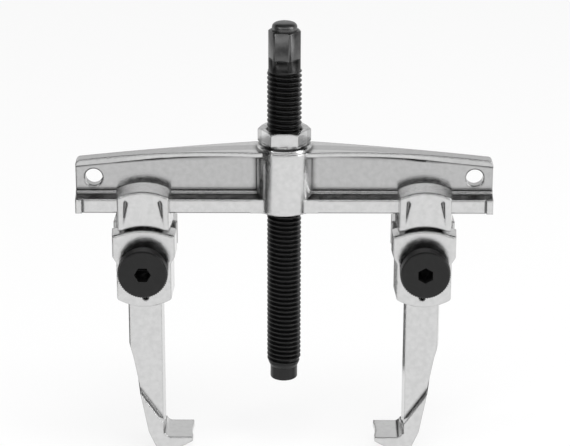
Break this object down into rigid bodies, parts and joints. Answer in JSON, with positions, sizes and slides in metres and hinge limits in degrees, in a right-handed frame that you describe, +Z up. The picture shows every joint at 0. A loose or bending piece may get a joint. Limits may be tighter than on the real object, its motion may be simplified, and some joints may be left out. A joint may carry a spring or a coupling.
{
  "type": "gear puller",
  "caption": "Puller for gears and bearings: a forged crossbeam carries a threaded spindle and sliding hooked legs, each held by a knurled clamp screw.",
  "frame": {"origin": "on the spindle axis, level with the underside of the crossbeam's rail", "axes": "+Z up along the spindle towards its hexagon, X along the crossbeam, -Y towards the clamp knobs"},
  "size_m": [0.172, 0.037, 0.1906],
  "materials": {
    "satin_chrome": "satin chrome plate on forged steel",
    "black_oxide": "oiled black oxide on turned steel",
    "bright_steel": "plain hardened steel"
  },
  "bodies": {
    "crossbeam": {"crossbeam": "satin_chrome"},
    "swivel_tip": {"pressure_tip": "black_oxide", "thrust_ball": "bright_steel", "tip_snap_ring": "bright_steel"},
    "spindle": {"spindle": "black_oxide"},
    "slider_left": {"slider_left": "satin_chrome"},
    "leg_left": {"leg_left": "satin_chrome", "roll_pin_left": "black_oxide"},
    "clamp_washer_left": {"clamp_washer_left": "black_oxide"},
    "clamp_screw_left": {"clamp_screw_left": "black_oxide"},
    "slider_right": {"slider_right": "satin_chrome"},
    "leg_right": {"leg_right": "satin_chrome", "roll_pin_right": "black_oxide"},
    "clamp_washer_right": {"clamp_washer_right": "black_oxide"},
    "clamp_screw_right": {"clamp_screw_right": "black_oxide"}
  },
  "joints": [
    {"name": "spindle_feed", "type": "slide", "parent": "crossbeam", "child": "swivel_tip", "axis": [0, 0, -1], "range_m": [-0.066, 0.024]},
    {"name": "spindle_turn", "type": "hinge", "parent": "swivel_tip", "child": "spindle", "pos_m": [0, 0, 0], "axis": [0, 0, -1], "range_deg": [-11890, 4330]},
    {"name": "slide_left", "type": "slide", "parent": "crossbeam", "child": "slider_left", "axis": [-1, 0, 0], "range_m": [-0.0255, 0.013]},
    {"name": "leg_swing_left", "type": "hinge", "parent": "slider_left", "child": "leg_left", "pos_m": [-0.058, 0, -0.0216], "axis": [0, 1, 0], "range_deg": [-3, 3]},
    {"name": "clamp_feed_left", "type": "slide", "parent": "leg_left", "child": "clamp_washer_left", "axis": [0, -1, 0], "range_m": [0, 0.006]},
    {"name": "clamp_turn_left", "type": "hinge", "parent": "clamp_washer_left", "child": "clamp_screw_left", "pos_m": [-0.058, 0, -0.0216], "axis": [0, -1, 0], "range_deg": [0, 1445]},
    {"name": "slide_right", "type": "slide", "parent": "crossbeam", "child": "slider_right", "axis": [1, 0, 0], "range_m": [-0.0255, 0.013]},
    {"name": "leg_swing_right", "type": "hinge", "parent": "slider_right", "child": "leg_right", "pos_m": [0.058, 0, -0.0216], "axis": [0, -1, 0], "range_deg": [-3, 3]},
    {"name": "clamp_feed_right", "type": "slide", "parent": "leg_right", "child": "clamp_washer_right", "axis": [0, -1, 0], "range_m": [0, 0.006]},
    {"name": "clamp_turn_right", "type": "hinge", "parent": "clamp_washer_right", "child": "clamp_screw_right", "pos_m": [0.058, 0, -0.0216], "axis": [0, -1, 0], "range_deg": [0, 1445]}
  ],
  "couplings": [
    {"joint": "spindle_turn", "follows": "spindle_feed", "rad_per_m": 3141.6},
    {"joint": "clamp_turn_left", "follows": "clamp_feed_left", "rad_per_m": 4188.8},
    {"joint": "clamp_turn_right", "follows": "clamp_feed_right", "rad_per_m": 4188.8}
  ]
}
